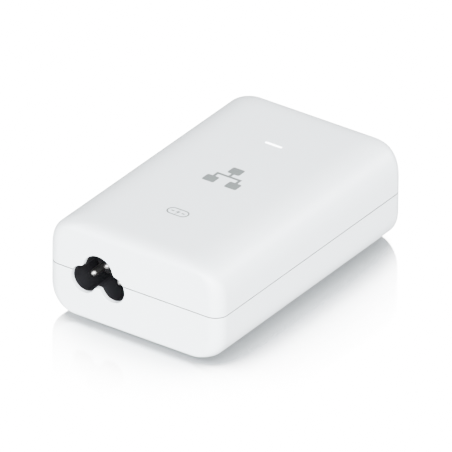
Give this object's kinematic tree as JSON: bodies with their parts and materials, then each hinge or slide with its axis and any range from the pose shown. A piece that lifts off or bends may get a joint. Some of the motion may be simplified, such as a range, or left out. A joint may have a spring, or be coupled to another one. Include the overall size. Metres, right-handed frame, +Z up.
{
  "type": "poe injector",
  "caption": "Single-port power-over-Ethernet injector: soft-edged two-part plastic case with a cloverleaf mains inlet, a light slit and two data sockets.",
  "frame": {"origin": "centre of the case's outline, on the surface that the feet stand on", "axes": "+X across the case, +Y along the case from the mains inlet to the data sockets, +Z up through the light slit's face"},
  "size_m": [0.0644, 0.1, 0.0337],
  "materials": {
    "case_plastic": "fine satin, moulded",
    "foot_rubber": "matt",
    "label_film": "satin film",
    "light_pipe": "polished, diffusing",
    "led_lens": "clear",
    "inlet_plastic": "moulded, semi-gloss",
    "pin_nickel": "nickel plated, polished",
    "board_laminate": "solder mask, satin",
    "insulator_film": "satin film",
    "part_black": "matt epoxy",
    "varistor_coat": "dipped epoxy",
    "thermistor_coat": "matt",
    "film_capacitor_box": "satin",
    "choke_core_coat": "powder coat",
    "copper_wire": "enamelled",
    "capacitor_sleeve": "shrunk sleeve",
    "ferrite": "matt, ground",
    "bobbin_plastic": "phenolic",
    "winding_tape": "polyester tape",
    "heat_sink_metal": "rolled",
    "screw_steel": "zinc plated",
    "safety_capacitor_coat": "dipped epoxy",
    "jack_plastic": "moulded",
    "shield_metal": "nickel plated",
    "contact_gold": "gold plated"
  },
  "bodies": {
    "case": {"upper_shell": "case_plastic", "lower_shell": "case_plastic", "foot_1": "foot_rubber", "foot_2": "foot_rubber", "foot_3": "foot_rubber", "foot_4": "foot_rubber", "rating_label": "label_film", "led_light_pipe": "light_pipe", "status_led": "led_lens", "ac_inlet_housing": "inlet_plastic", "inlet_line_pin": "pin_nickel", "inlet_neutral_pin": "pin_nickel", "inlet_earth_pin": "pin_nickel", "main_circuit_board": "board_laminate", "insulator_sheet": "insulator_film", "mains_fuse": "part_black", "surge_varistor": "varistor_coat", "inrush_thermistor": "thermistor_coat", "mains_filter_capacitor": "film_capacitor_box", "choke_core": "choke_core_coat", "choke_windings": "copper_wire", "bridge_rectifier": "part_black", "bulk_capacitor": "capacitor_sleeve", "transformer_core": "ferrite", "transformer_bobbin": "bobbin_plastic", "transformer_winding": "winding_tape", "primary_heat_sink": "heat_sink_metal", "switching_transistor": "part_black", "secondary_heat_sink": "heat_sink_metal", "output_diode": "part_black", "heat_sink_screws": "screw_steel", "safety_capacitor": "safety_capacitor_coat", "feedback_optocoupler": "part_black", "output_capacitor_1": "capacitor_sleeve", "output_capacitor_2": "capacitor_sleeve", "output_choke": "ferrite", "controller_chip": "part_black", "data_transformer_module": "part_black", "lan_jack_housing": "jack_plastic", "lan_jack_shield": "shield_metal", "lan_contact_tails": "contact_gold", "poe_jack_housing": "jack_plastic", "poe_jack_shield": "shield_metal", "poe_contact_tails": "contact_gold"},
    "lan_contact_spring_row": {"lan_contact_springs": "contact_gold"},
    "poe_contact_spring_row": {"poe_contact_springs": "contact_gold"}
  },
  "joints": [
    {"name": "lan_contact_flex", "type": "hinge", "parent": "case", "child": "lan_contact_spring_row", "pos_m": [-0.012, 0.0467, 0.02015], "axis": [-1, 0, 0], "range_deg": [0, 12], "stiffness_Nm_per_rad": 0.15},
    {"name": "poe_contact_flex", "type": "hinge", "parent": "case", "child": "poe_contact_spring_row", "pos_m": [0.012, 0.0467, 0.02015], "axis": [-1, 0, 0], "range_deg": [0, 12], "stiffness_Nm_per_rad": 0.15}
  ]
}
